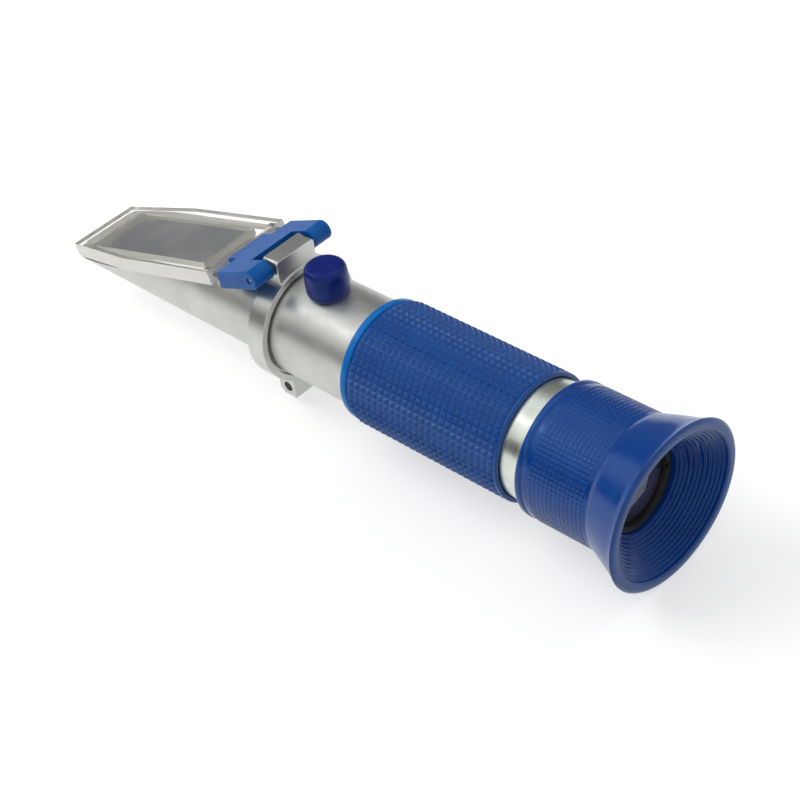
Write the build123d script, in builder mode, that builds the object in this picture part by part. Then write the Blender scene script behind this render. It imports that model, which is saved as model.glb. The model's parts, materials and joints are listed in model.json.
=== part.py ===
from build123d import *
from math import asin, atan2, cos, hypot, radians, sin, sqrt, tan
import os

os.makedirs("parts", exist_ok=True)

# A handheld refractometer, lying as on a table: prism end towards -X, eyepiece towards +X,
# hinge block and calibration cap on top. All sizes are millimetres.
# Stations are distances along the barrel from the rear face of the clamp collar,
# and heights are measured from the optical axis.

# Barrel and its waist
barrel_radius = 12.5
barrel_wall = 1.5
waist_length = 23.4
band_length = 2.0
band_thickness = 1.7
grip_length = 42.5
grip_thickness = 2.1
grip_edge_round = 0.6
grip_lip_length = 1.9
grip_lip_gap = 0.5

# Prism housing, with its sloping face
housing_step = 1.25
housing_reach = 72.6
housing_wall = 2.75
light_mouth_length = 7.0
light_mouth_inset = 2.5
housing_spigot_gap = 0.6
nose_height = 4.9
prism_side_wall = 3.85
prism_foot_wall = 5.25
prism_foot_gap = 4.0
prism_front_gap = 7.6
prism_length = 39.0
seal_thickness = 1.0
seal_station_gap = 3.0

# Clamp collar, hinge block and lug
collar_width = 5.0
collar_thickness = 2.1
collar_relief_width = 0.6
collar_relief_depth = 1.2
block_half_width = 5.7
block_rise = 6.8
block_rear_step = 0.6
block_edge_round = 0.8
lug_half_width = 8.0
lug_fall = 4.8
lug_corner = 1.3
slit_width = 1.2
clamp_screw_radius = 1.25
clamp_screw_front_wall = 2.7
clamp_screw_fall = 2.35
clamp_head_rim = 0.75
clamp_head_length = 2.4
clamp_socket_radius = 1.0
clamp_socket_depth = 1.3
clamp_tip_recess = 1.8

# Hinge of the cover
pin_front_wall = 1.6
pin_drop = 2.1
pin_radius = 0.75
pin_recess = 0.4
pin_face_gap = 2.926
knuckle_wall = 1.55
bracket_side_step = 0.2
bracket_lean = 6.3
arm_reach = 11.3
arm_front_lean = 1.35
arm_front_rise = 0.4
arm_gap = 0.7
bridge_gap = 4.5
bridge_thickness = 2.9
tongue_side_step = 0.2
bracket_edge_round = 0.4

# Clear cover plate
cover_setback = 15.0
cover_overhang = 0.65
cover_thickness = 3.5
cover_side_proud = 0.75
cover_tip_inset = 2.7
cover_taper_length = 24.6
cover_bend_round = 30.0
cover_corner_round = 0.8
film_gap = 0.3
pad_side_proud = 0.6
pad_start = 5.1
pad_end_gap = 6.5
pad_groove_depth = 1.7
rim_width = 2.0
cover_screw_radius = 0.7
cover_screw_inset = 1.8
cover_screw_length = 9.0
cover_screw_grip = 3.0

# Calibration screw on top of the barrel
cap_station = 8.6
cap_headroom = 1.6
cap_base_wall = 1.15
cap_top_wall = 0.75
cap_wall = 1.0
cap_edge_round = 1.2
cap_seat_gap = 0.3
bush_wall = 1.4
bush_lip = 0.5
bush_spigot_wall = 1.55
bush_floor_rise = 0.9
bush_foot_drop = 0.3
calibration_head_radius = 2.6
calibration_head_height = 2.2
calibration_shank_radius = 1.45
calibration_tip_proud = 0.2
slot_width = 0.7
slot_depth = 0.9
clip_thickness = 0.6
clip_width = 0.7

# Objective lens on its temperature strip
strip_drop = 2.8
strip_thickness = 0.8
strip_half_width = 3.0
strip_length = 26.0
nut_length = 10.0
nut_half_width = 3.5
nut_drop = 3.4
strip_screw_radius = 0.6
strip_screw_head_radius = 1.2
strip_screw_head_height = 0.6
strip_screw_length = 0.9
objective_gap = 2.4
objective_end_gap = 0.4
objective_cell_length = 6.0
objective_cell_wall = 1.4
objective_edge = 2.4
objective_bulge = 0.7
objective_ring_length = 1.4
lens_lip = 0.7
lens_lip_length = 1.5
washer_inset = 0.6
spring_washer_thickness = 0.25

# Baffle and reticle
baffle_setback = 14.0
baffle_thickness = 1.0
baffle_width = 4.5
reticle_gap = 0.5
reticle_cell_length = 8.0
reticle_wall = 1.6
reticle_lip = 1.0
reticle_seat_length = 3.0
reticle_thickness = 1.5
reticle_ring_length = 1.2

# Fixed eyepiece tube
silver_gap = 5.2
eye_tube_step = 0.9
eye_tube_wall = 1.9
eye_tube_end_gap = 1.1
eye_spigot_length = 3.5
eye_spigot_wall = 0.8
key_radius = 0.6
key_station_gap = 12.0
key_depth = 0.6

# Focusing sleeve with its eyecup
sleeve_wall = 1.0
sleeve_length = 18.4
sleeve_edge_round = 0.8
sleeve_groove_station = 3.1
sleeve_groove_width = 0.6
sleeve_groove_depth = 0.4
focus_ring_wall = 0.75
focus_ring_setback = 0.5
focus_web_length = 0.9
cup_depth = 9.8
cup_flare = 4.2
cup_lip_radius = 1.1
cup_flare_rise = 0.6
cup_steps = 11
cup_floor_step = 0.25
cup_floor_depth = 7.3
focus_travel = 2.5

# Eyepiece lens cell
cell_front_gap = 4.1
cell_flange_rise = 1.3
cell_flange_length = 1.8
cell_wall = 1.85
cell_neck_wall = 0.8
cell_neck_length = 2.4
cell_web_step = 0.7
cell_web_length = 2.0
field_lens_edge = 2.6
field_lens_bulge = 1.2
field_ring_length = 1.2
field_seat_gap = 6.6
eye_lens_wall = 2.65
eye_lens_edge = 3.0
eye_lens_bulge = 1.6
eye_ring_length = 1.2
eye_ring_width = 0.8
stop_ring_length = 1.0

# Clearances
running_gap = 0.05
side_gap = 0.1
free_gap = 0.15

# Radii and widths worked out from the barrel outwards and inwards
bore_radius = barrel_radius - barrel_wall
band_radius = barrel_radius + band_thickness
grip_radius = barrel_radius + grip_thickness
collar_radius = barrel_radius + collar_thickness
collar_relief_radius = barrel_radius + collar_relief_width
housing_radius = barrel_radius - housing_step
light_bore_radius = housing_radius - housing_wall
light_mouth_radius = light_bore_radius - light_mouth_inset
prism_half_width = housing_radius - prism_side_wall
prism_foot_height = housing_radius - prism_foot_wall
cover_half_width = housing_radius + cover_side_proud
cover_tip_half_width = cover_half_width - cover_tip_inset
pad_half_width = prism_half_width + pad_side_proud
bracket_half_width = cover_half_width - bracket_side_step
cover_screw_spread = bracket_half_width - cover_screw_inset
knuckle_radius = pin_radius + knuckle_wall
tongue_half_width = block_half_width - tongue_side_step
clamp_head_radius = clamp_screw_radius + clamp_head_rim
bush_radius = calibration_head_radius + bush_wall
bush_spigot_radius = calibration_shank_radius + bush_spigot_wall
head_bore_radius = calibration_head_radius + running_gap
clip_bore_radius = calibration_head_radius - clip_width
spring_washer_radius = bush_spigot_radius - washer_inset
cap_base_radius = bush_radius + cap_base_wall
cap_top_radius = bush_radius + cap_top_wall
objective_cell_radius = bore_radius - objective_gap
objective_radius = objective_cell_radius - objective_cell_wall
baffle_hole_radius = bore_radius - baffle_width
reticle_radius = bore_radius - reticle_wall

# Radii of the eyepiece, from the fixed tube outwards and inwards
eye_tube_radius = barrel_radius + eye_tube_step
eye_tube_bore_radius = eye_tube_radius - eye_tube_wall
eye_throat_radius = bore_radius - eye_spigot_wall
focus_bore_radius = eye_tube_radius + running_gap
focus_ring_radius = focus_bore_radius + focus_ring_wall
sleeve_radius = focus_ring_radius + sleeve_wall
cup_radius = sleeve_radius + cup_flare
cell_radius = eye_tube_bore_radius - running_gap
cell_flange_radius = eye_tube_bore_radius + cell_flange_rise
flange_bore_radius = cell_flange_radius + side_gap
eye_lens_radius = cell_radius - eye_lens_wall
cell_neck_radius = eye_lens_radius + cell_neck_wall
neck_bore_radius = cell_neck_radius + free_gap
cup_floor_radius = neck_bore_radius + cup_floor_step
cell_through_radius = eye_lens_radius - cell_web_step
field_lens_radius = cell_radius - cell_wall
eye_ring_bore_radius = eye_lens_radius - eye_ring_width

# Stations worked out from the lengths above
collar_front = -collar_width
pin_offset = collar_width - pin_front_wall
band_start = waist_length
grip_start = band_start + band_length
grip_end = grip_start + grip_length
barrel_end = grip_end - grip_lip_length
sleeve_start = grip_end + silver_gap
neck_station = sleeve_start + sleeve_length
rim_station = neck_station + cup_depth

# Heights of the hinge block and the strip over the optical axis
block_height = barrel_radius + block_rise
pin_height = block_height - pin_drop
lug_drop = barrel_radius + lug_fall
clamp_screw_drop = barrel_radius + clamp_screw_fall
strip_height = bore_radius - strip_drop

# The face slopes from the nose so that it passes under the hinge pin at its stated gap
nose_drop = nose_height - housing_radius
pin_run = housing_reach - pin_offset
pin_rise = pin_height - nose_drop
pin_distance = hypot(pin_run, pin_rise)
face_slope = atan2(pin_rise, pin_run) - asin(pin_face_gap / pin_distance)
slope_run = cos(face_slope)
slope_rise = sin(face_slope)

# The cover ends in front of the hinge, measured along the face
cover_tip = -cover_overhang
cover_rear = sqrt(pin_distance**2 - pin_face_gap**2) - cover_setback
cover_length = cover_rear - cover_tip
pad_length = cover_length - pad_start - pad_end_gap

# Heights of the calibration screw, its bush and its cap, from the barrel outwards
bush_floor_height = barrel_radius + bush_floor_rise
head_top_height = bush_floor_height + side_gap + calibration_head_height
clip_height = head_top_height + side_gap
bush_height = clip_height + clip_thickness + bush_lip
cap_top_height = bush_height + cap_headroom + cap_wall
calibration_tip_height = strip_height - nut_drop - calibration_tip_proud

# The origin is the middle of the base of the box around the whole object
cover_top_gap = film_gap + cover_thickness
tip_reach = housing_reach + cover_overhang * slope_run + cover_top_gap * slope_rise
axis_height = cup_radius
collar_rear = (tip_reach - rim_station) / 2

# Planes and axes that every piece is drawn on
datum = Vector(collar_rear, 0, axis_height)
barrel_axis = Axis(datum, (1, 0, 0))
side = Plane(origin=datum, x_dir=(1, 0, 0), z_dir=(0, -1, 0))
across = Plane(origin=datum, x_dir=(0, 1, 0), z_dir=(1, 0, 0))
above = Plane(origin=datum, x_dir=(1, 0, 0), z_dir=(0, 0, 1))

# The calibration screw's own upright plane and axis
screw_foot = datum + Vector(cap_station, 0, 0)
screw_side = Plane(origin=screw_foot, x_dir=(1, 0, 0), z_dir=(0, -1, 0))
screw_axis = Axis(screw_foot, (0, 0, 1))

# The sloping prism face starts at the nose and rises towards the hinge
face_origin = datum + Vector(-housing_reach, 0, nose_drop)
face = Plane(origin=face_origin, x_dir=(slope_run, 0, slope_rise), z_dir=(-slope_rise, 0, slope_run))

# The bracket's own plane stands upright, with its origin at the hinge pin
pin_centre = datum + Vector(-pin_offset, 0, pin_height)
bracket_slope = face_slope + radians(bracket_lean)
arm_run = cos(bracket_slope)
arm_rise = sin(bracket_slope)
arm_side = Plane(origin=pin_centre, x_dir=(arm_run, 0, arm_rise), z_dir=(0, -1, 0))
pin_side = Plane(origin=pin_centre, x_dir=(1, 0, 0), z_dir=(0, -1, 0))


def turned(*points):
    """Spin a closed half section of (station, radius) points about the optical axis."""
    with BuildSketch(side) as half_section:
        with BuildLine():
            Polyline(*points, close=True)
        make_face()
    revolve(half_section.sketch, axis=barrel_axis)


def tube(start, end, inner, outer):
    """Turn a plain ring between two stations."""
    turned((start, inner), (end, inner), (end, outer), (start, outer))


def lens(front, edge, radius, clear_radius, front_bulge, rear_bulge):
    """Turn a lens with a flat rim for its seat and faces that bulge inside the clear radius."""
    rear = front + edge
    with BuildSketch(side) as half_section:
        with BuildLine():
            Line((front - front_bulge, 0), (rear + rear_bulge, 0))
            if rear_bulge:
                rear_curve = (clear_radius**2 + rear_bulge**2) / (2 * rear_bulge)
                RadiusArc((rear + rear_bulge, 0), (rear, clear_radius), -rear_curve)
            else:
                Line((rear, 0), (rear, clear_radius))
            Polyline((rear, clear_radius), (rear, radius), (front, radius), (front, clear_radius))
            front_curve = (clear_radius**2 + front_bulge**2) / (2 * front_bulge)
            RadiusArc((front, clear_radius), (front - front_bulge, 0), -front_curve)
        make_face()
    revolve(half_section.sketch, axis=barrel_axis)


def face_height(station):
    """Give the height of the sloping face over the optical axis at a station."""
    return nose_drop + (station + housing_reach) * tan(face_slope)


def save(piece, name):
    """Name a finished piece and write it to its own file."""
    piece.part.label = name
    export_step(piece.part, f"parts/{name}.step")


# Barrel tube, with a round hole on top for the calibration bush
with BuildPart() as barrel_tube:
    tube(collar_front, barrel_end, bore_radius, barrel_radius)
    with BuildSketch(above):
        with Locations((cap_station, 0)):
            Circle(bush_spigot_radius)
    extrude(amount=barrel_radius, mode=Mode.SUBTRACT)
save(barrel_tube, "barrel_tube")

# Measuring prism, a wedge of glass under the sloping face with a rounded front end
prism_front = -housing_reach + prism_front_gap
prism_rear = prism_front + prism_length
prism_plan_front = prism_front_gap / slope_run
prism_plan_rear = (prism_rear + housing_reach) / slope_run


def prism_wedge(gap):
    """Draw the prism's side, grown by a gap where the housing is cut for it."""
    with BuildSketch(side) as wedge:
        with BuildLine():
            Polyline(
                (prism_front - gap, face_height(prism_front - gap)),
                (prism_rear + gap, face_height(prism_rear + gap)),
                (prism_rear + gap, -prism_foot_height - gap),
                (prism_front + prism_foot_gap - gap, -prism_foot_height - gap),
                close=True,
            )
        make_face()
    return wedge.sketch


def prism_plan(gap):
    """Draw the prism's outline on the sloping face, rounded at the front."""
    half_width = prism_half_width + gap
    with BuildSketch(face) as plan:
        with BuildLine():
            front = prism_plan_front - gap + half_width
            rear = prism_plan_rear + housing_radius
            Line((front, -half_width), (rear, -half_width))
            Line((rear, -half_width), (rear, half_width))
            Line((rear, half_width), (front, half_width))
            RadiusArc((front, half_width), (front, -half_width), -half_width)
        make_face()
    return plan.sketch


with BuildPart() as measuring_prism:
    extrude(prism_wedge(0), amount=housing_radius, both=True)
    extrude(prism_plan(0), amount=2 * housing_radius, both=True, mode=Mode.INTERSECT)
save(measuring_prism, "measuring_prism")

# Prism housing, a rod cut to the sloping face, hollow behind the prism
with BuildPart(mode=Mode.PRIVATE) as prism_pocket:
    extrude(prism_wedge(running_gap), amount=housing_radius, both=True)
    extrude(prism_plan(running_gap), amount=2 * housing_radius, both=True, mode=Mode.INTERSECT)

strip_start = cap_station - nut_length / 2
spigot_end = strip_start - housing_spigot_gap
light_mouth_end = prism_rear + light_mouth_length
seal_station = collar_front + seal_station_gap
seal_groove_radius = bore_radius - seal_thickness
with BuildPart() as prism_housing:
    tube(prism_rear, spigot_end, light_bore_radius, bore_radius)
    turned(
        (-housing_reach, 0),
        (prism_rear, 0),
        (prism_rear, light_mouth_radius),
        (light_mouth_end, light_mouth_radius),
        (light_mouth_end, light_bore_radius),
        (collar_front, light_bore_radius),
        (collar_front, housing_radius),
        (-housing_reach, housing_radius),
    )
    with BuildSketch(side) as above_face:
        with BuildLine():
            Polyline(
                (-housing_reach - housing_radius, face_height(-housing_reach - housing_radius)),
                (collar_front, face_height(collar_front)),
                (-housing_reach - housing_radius, face_height(collar_front)),
                close=True,
            )
        make_face()
    extrude(amount=2 * housing_radius, both=True, mode=Mode.SUBTRACT)
    add(prism_pocket.part, mode=Mode.SUBTRACT)
    with BuildSketch(side) as seal_groove:
        with Locations((seal_station, seal_groove_radius + seal_thickness / 2)):
            Rectangle(seal_thickness, seal_thickness)
    revolve(axis=barrel_axis, mode=Mode.SUBTRACT)
save(prism_housing, "prism_housing")

# Rubber seal ring between the housing's spigot and the barrel
with BuildPart() as housing_seal:
    with BuildSketch(side):
        with Locations((seal_station, seal_groove_radius + seal_thickness / 2)):
            Circle(seal_thickness / 2 - running_gap)
    revolve(axis=barrel_axis)
save(housing_seal, "housing_seal")

# Clamp collar, a ring with the hinge block on top and a split lug below
block_front = collar_front
block_rear = -block_rear_step
clamp_screw_station = clamp_screw_front_wall - collar_width
with BuildPart() as clamp_collar:
    tube(collar_front, 0, barrel_radius, collar_radius)
    with BuildSketch(above.offset(barrel_radius)):
        with Locations(((block_front + block_rear) / 2, 0)):
            Rectangle(block_rear - block_front, 2 * block_half_width)
    extrude(amount=block_height - barrel_radius)
    block_top = clamp_collar.faces().sort_by(Axis.Z)[-1]
    fillet(block_top.edges().filter_by(Axis.X), block_edge_round)
    with BuildSketch(above.offset(-lug_drop)):
        with Locations((-collar_width / 2, 0)):
            Rectangle(collar_width, 2 * lug_half_width)
    extrude(amount=lug_drop - sqrt(collar_radius**2 - lug_half_width**2))
    lug_floor = clamp_collar.faces().sort_by(Axis.Z)[0]
    chamfer(lug_floor.edges().filter_by(Axis.Y).sort_by(Axis.X)[0], lug_corner)
    with BuildSketch(across.offset(collar_front)):
        Circle(barrel_radius)
    extrude(amount=collar_width, mode=Mode.SUBTRACT)
    with BuildSketch(across):
        Circle(collar_relief_radius)
    extrude(amount=-collar_relief_depth, mode=Mode.SUBTRACT)
    with BuildSketch(above.offset(-lug_drop)):
        with Locations((-collar_width / 2, 0)):
            Rectangle(2 * collar_width, slit_width)
    extrude(amount=lug_drop, mode=Mode.SUBTRACT)
    with BuildSketch(side):
        with Locations((clamp_screw_station, -clamp_screw_drop)):
            Circle(clamp_screw_radius)
    extrude(amount=lug_half_width, both=True, mode=Mode.SUBTRACT)
    with BuildSketch(pin_side):
        Circle(pin_radius)
    extrude(amount=block_half_width, both=True, mode=Mode.SUBTRACT)
save(clamp_collar, "clamp_collar")

# Clamp screw, with a socket head on the far side and its tip inside the near ear
with BuildPart() as clamp_screw:
    with BuildSketch(side.offset(-lug_half_width)):
        with Locations((clamp_screw_station, -clamp_screw_drop)):
            Circle(clamp_screw_radius)
    extrude(amount=2 * lug_half_width - clamp_tip_recess)
    with BuildSketch(side.offset(-lug_half_width)):
        with Locations((clamp_screw_station, -clamp_screw_drop)):
            Circle(clamp_head_radius)
    extrude(amount=-clamp_head_length)
    with BuildSketch(side.offset(-lug_half_width - clamp_head_length)):
        with Locations((clamp_screw_station, -clamp_screw_drop)):
            RegularPolygon(clamp_socket_radius, 6)
    extrude(amount=clamp_socket_depth, mode=Mode.SUBTRACT)
save(clamp_screw, "clamp_screw")

# Hinge pin, pressed through the block and carrying both arms of the bracket
with BuildPart() as hinge_pin:
    with BuildSketch(pin_side):
        Circle(pin_radius)
    extrude(amount=bracket_half_width - pin_recess, both=True)
save(hinge_pin, "hinge_pin")

# Rubber grip, with a hollow rear lip that stands clear of the eyepiece tube
with BuildPart() as grip_sleeve:
    tube(grip_start, grip_end, barrel_radius, grip_radius)
    lip_bore_radius = eye_tube_radius + grip_lip_gap
    with BuildSketch(across.offset(barrel_end)):
        Circle(lip_bore_radius)
    extrude(amount=grip_lip_length, mode=Mode.SUBTRACT)
    grip_edges = grip_sleeve.edges().filter_by(GeomType.CIRCLE)
    fillet(grip_edges.group_by(SortBy.RADIUS)[-1], grip_edge_round)
save(grip_sleeve, "grip_sleeve")

# Bright band in front of the grip
with BuildPart() as grip_band:
    tube(band_start, grip_start, barrel_radius, band_radius)
save(grip_band, "grip_band")

# Calibration bush, a boss on the barrel that holds the calibration screw
bush_foot_height = bore_radius - bush_foot_drop
with BuildPart() as calibration_bush:
    with BuildSketch(above):
        with Locations((cap_station, 0)):
            Circle(bush_radius)
    extrude(amount=bush_height)
    with BuildSketch(across):
        Circle(barrel_radius)
    extrude(amount=2 * cap_station, mode=Mode.SUBTRACT)
    with BuildSketch(above.offset(bush_foot_height)):
        with Locations((cap_station, 0)):
            Circle(bush_spigot_radius)
    extrude(amount=barrel_radius - bush_foot_height)
    with BuildSketch(above.offset(bush_floor_height)):
        with Locations((cap_station, 0)):
            Circle(head_bore_radius)
    extrude(amount=bush_height - bush_floor_height, mode=Mode.SUBTRACT)
    with BuildSketch(above.offset(bush_foot_height)):
        with Locations((cap_station, 0)):
            Circle(calibration_shank_radius + running_gap)
    extrude(amount=bush_height, mode=Mode.SUBTRACT)
save(calibration_bush, "calibration_bush")

# Spring clip that keeps the calibration screw in its bush
with BuildPart() as screw_clip:
    with BuildSketch(above.offset(clip_height)):
        with Locations((cap_station, 0)):
            Circle(head_bore_radius)
            Circle(clip_bore_radius, mode=Mode.SUBTRACT)
    extrude(amount=clip_thickness)
save(screw_clip, "screw_clip")

# Calibration screw, slotted, captive in its bush and threaded into the strip's nut
with BuildPart() as calibration_screw:
    with BuildSketch(above.offset(bush_floor_height + side_gap)):
        with Locations((cap_station, 0)):
            Circle(calibration_head_radius)
    extrude(amount=calibration_head_height)
    with BuildSketch(above.offset(calibration_tip_height)):
        with Locations((cap_station, 0)):
            Circle(calibration_shank_radius)
    extrude(amount=head_top_height - calibration_tip_height)
    with BuildSketch(above.offset(head_top_height)):
        with Locations((cap_station, 0)):
            Rectangle(2 * calibration_head_radius, slot_width)
    extrude(amount=-slot_depth, mode=Mode.SUBTRACT)
save(calibration_screw, "calibration_screw")

# Rubber cap over the bush, its lower edge shaped to the barrel
with BuildPart() as screw_cap:
    cap_taper = (cap_base_radius - cap_top_radius) / (cap_top_height - barrel_radius)
    cap_root_radius = cap_base_radius + cap_taper * barrel_radius
    with BuildSketch(above):
        with Locations((cap_station, 0)):
            Circle(cap_root_radius)
    with BuildSketch(above.offset(cap_top_height)):
        with Locations((cap_station, 0)):
            Circle(cap_top_radius)
    loft()
    fillet(screw_cap.faces().sort_by(Axis.Z)[-1].edges(), cap_edge_round)
    with BuildSketch(above):
        with Locations((cap_station, 0)):
            Circle(bush_radius + running_gap)
    extrude(amount=cap_top_height - cap_wall, mode=Mode.SUBTRACT)
    with BuildSketch(across):
        Circle(barrel_radius + cap_seat_gap)
    extrude(amount=2 * cap_station, mode=Mode.SUBTRACT)
save(screw_cap, "screw_cap")

# Temperature strip, a springy two-metal strip that carries the objective lens
objective_end = strip_start + strip_length + objective_end_gap
objective_station = objective_end - objective_cell_length
strip_screw_stations = (
    strip_start + nut_length - strip_screw_head_radius - side_gap,
    objective_station + objective_cell_length / 2,
)
with BuildPart() as temperature_strip:
    with BuildSketch(above.offset(strip_height)):
        with Locations((strip_start + strip_length / 2, 0)):
            Rectangle(strip_length, 2 * strip_half_width)
        with Locations((cap_station, 0)):
            Circle(calibration_shank_radius + free_gap, mode=Mode.SUBTRACT)
        with Locations(*[(station, 0) for station in strip_screw_stations]):
            Circle(strip_screw_radius, mode=Mode.SUBTRACT)
    extrude(amount=strip_thickness)
save(temperature_strip, "temperature_strip")

# Nut block under the strip, driven up and down by the calibration screw
with BuildPart() as adjuster_nut:
    with BuildSketch(above.offset(strip_height)):
        with Locations((strip_start + nut_length / 2, 0)):
            Rectangle(nut_length, 2 * nut_half_width)
        with Locations((cap_station, 0)):
            Circle(calibration_shank_radius + running_gap, mode=Mode.SUBTRACT)
    extrude(amount=-nut_drop)
    with BuildSketch(above.offset(strip_height)):
        with Locations((strip_screw_stations[0], 0)):
            Circle(strip_screw_radius)
    extrude(amount=-strip_screw_length, mode=Mode.SUBTRACT)
save(adjuster_nut, "adjuster_nut")

# Objective cell, a ring with a flat on top where the strip is screwed down
objective_lip_start = objective_end - lens_lip_length
with BuildPart() as objective_cell:
    turned(
        (objective_station, objective_radius),
        (objective_lip_start, objective_radius),
        (objective_lip_start, objective_radius - lens_lip),
        (objective_end, objective_radius - lens_lip),
        (objective_end, objective_cell_radius),
        (objective_station, objective_cell_radius),
    )
    with BuildSketch(above.offset(strip_height)):
        with Locations(((objective_station + objective_end) / 2, 0)):
            Rectangle(objective_cell_length, 2 * objective_cell_radius)
    extrude(amount=objective_cell_radius, mode=Mode.SUBTRACT)
    with BuildSketch(above.offset(strip_height)):
        with Locations((strip_screw_stations[1], 0)):
            Circle(strip_screw_radius)
    extrude(amount=-strip_screw_length, mode=Mode.SUBTRACT)
save(objective_cell, "objective_cell")

# Objective lens
objective_lens_front = objective_lip_start - objective_edge
with BuildPart() as objective_lens:
    lens(
        objective_lens_front,
        objective_edge,
        objective_radius,
        objective_radius - lens_lip,
        objective_bulge,
        objective_bulge,
    )
save(objective_lens, "objective_lens")

# Threaded ring that holds the objective lens
with BuildPart() as objective_ring:
    tube(
        objective_lens_front - objective_ring_length,
        objective_lens_front,
        objective_radius - lens_lip,
        objective_radius,
    )
save(objective_ring, "objective_ring")

# Two small screws that hold the strip to its nut and to the objective cell
with BuildPart() as strip_screws:
    with BuildSketch(above.offset(strip_height + strip_thickness)):
        with Locations(*[(station, 0) for station in strip_screw_stations]):
            Circle(strip_screw_head_radius)
    extrude(amount=strip_screw_head_height)
    with BuildSketch(above.offset(strip_height - strip_screw_length)):
        with Locations(*[(station, 0) for station in strip_screw_stations]):
            Circle(strip_screw_radius)
    extrude(amount=strip_screw_length + strip_thickness)
save(strip_screws, "strip_screws")

# Spring washer between the bush and the strip, which takes up the thread's play
washer_top = bush_foot_height
washer_base = strip_height + strip_thickness
washer_bore_radius = calibration_shank_radius + free_gap
with BuildPart() as spring_washer:
    with BuildSketch(screw_side):
        with BuildLine():
            Polyline(
                (washer_bore_radius, washer_top - spring_washer_thickness),
                (spring_washer_radius, washer_base),
                (spring_washer_radius, washer_base + spring_washer_thickness),
                (washer_bore_radius, washer_top),
                close=True,
            )
        make_face()
    revolve(axis=screw_axis)
save(spring_washer, "spring_washer")

# Baffle that keeps stray light off the scale
eye_spigot_start = barrel_end - eye_spigot_length
reticle_cell_end = eye_spigot_start - reticle_gap
reticle_station = reticle_cell_end - reticle_cell_length
baffle_station = reticle_station - baffle_setback
with BuildPart() as light_baffle:
    tube(baffle_station, baffle_station + baffle_thickness, baffle_hole_radius, bore_radius)
save(light_baffle, "light_baffle")

# Cell for the glass scale, pushed into the barrel
reticle_seat = reticle_cell_end - reticle_seat_length
with BuildPart() as reticle_cell:
    turned(
        (reticle_station, reticle_radius - reticle_lip),
        (reticle_seat, reticle_radius - reticle_lip),
        (reticle_seat, reticle_radius),
        (reticle_cell_end, reticle_radius),
        (reticle_cell_end, bore_radius),
        (reticle_station, bore_radius),
    )
save(reticle_cell, "reticle_cell")

# Glass disc that carries the scale
with BuildPart() as reticle_disc:
    with BuildSketch(across.offset(reticle_seat)):
        Circle(reticle_radius)
    extrude(amount=reticle_thickness)
save(reticle_disc, "reticle_disc")

# Threaded ring that holds the scale's disc
reticle_ring_start = reticle_seat + reticle_thickness
with BuildPart() as reticle_ring:
    tube(
        reticle_ring_start,
        reticle_ring_start + reticle_ring_length,
        reticle_radius - reticle_lip,
        reticle_radius,
    )
save(reticle_ring, "reticle_ring")

# Fixed eyepiece tube, bright where it shows between the grip and the sleeve
stop_ring_end = neck_station + focus_ring_setback
stop_ring_start = stop_ring_end - stop_ring_length
cell_flange_end = stop_ring_start - side_gap
cell_flange_start = cell_flange_end - cell_flange_length
focus_web_end = cell_flange_start - side_gap
focus_web_start = focus_web_end - focus_web_length
eye_tube_end = focus_web_start - focus_travel - eye_tube_end_gap
key_station = barrel_end + key_station_gap
with BuildPart() as eyepiece_tube:
    turned(
        (eye_spigot_start, eye_throat_radius),
        (barrel_end + eye_spigot_wall, eye_throat_radius),
        (barrel_end + eye_spigot_wall, eye_tube_bore_radius),
        (eye_tube_end, eye_tube_bore_radius),
        (eye_tube_end, eye_tube_radius),
        (barrel_end, eye_tube_radius),
        (barrel_end, bore_radius),
        (eye_spigot_start, bore_radius),
    )
    with BuildSketch(above):
        with Locations((key_station, 0)):
            Circle(key_radius)
    extrude(amount=-eye_tube_radius, mode=Mode.SUBTRACT)
save(eyepiece_tube, "eyepiece_tube")

# Guide key, a small pin that stops the lens cell from turning
with BuildPart() as guide_key:
    with BuildSketch(above.offset(-eye_tube_bore_radius + key_depth)):
        with Locations((key_station, 0)):
            Circle(key_radius)
    extrude(amount=-(eye_tube_radius - eye_tube_bore_radius + key_depth - running_gap))
save(guide_key, "guide_key")

# Eyepiece lens cell, which slides along the fixed tube without turning
cell_front = barrel_end + cell_front_gap + focus_travel
focus_ring_start = sleeve_start + focus_ring_setback
cell_end = stop_ring_end + cell_neck_length - stop_ring_length
eye_ring_start = cell_end - eye_ring_length
eye_lens_front = eye_ring_start - eye_lens_edge
field_seat = cell_flange_start - field_seat_gap
eye_seat = field_seat + cell_web_length
with BuildPart() as lens_cell:
    turned(
        (cell_front, field_lens_radius),
        (field_seat, field_lens_radius),
        (field_seat, cell_through_radius),
        (eye_seat, cell_through_radius),
        (eye_seat, eye_lens_radius),
        (cell_end, eye_lens_radius),
        (cell_end, cell_neck_radius),
        (cell_flange_end, cell_neck_radius),
        (cell_flange_end, cell_flange_radius),
        (cell_flange_start, cell_flange_radius),
        (cell_flange_start, cell_radius),
        (cell_front, cell_radius),
    )
    slot_length = 2 * (focus_travel + key_radius + free_gap)
    with BuildSketch(above.offset(-eye_tube_bore_radius + key_depth + free_gap)):
        with Locations((key_station, 0)):
            SlotOverall(slot_length, 2 * (key_radius + running_gap))
    extrude(amount=-eye_tube_radius, mode=Mode.SUBTRACT)
save(lens_cell, "lens_cell")

# Field lens and the ring that holds it
field_lens_front = field_seat - field_lens_edge
with BuildPart() as field_lens:
    lens(
        field_lens_front,
        field_lens_edge,
        field_lens_radius,
        field_lens_radius - lens_lip,
        field_lens_bulge,
        0,
    )
save(field_lens, "field_lens")

with BuildPart() as field_lens_ring:
    tube(
        field_lens_front - field_ring_length,
        field_lens_front,
        field_lens_radius - lens_lip,
        field_lens_radius,
    )
save(field_lens_ring, "field_lens_ring")

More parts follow.
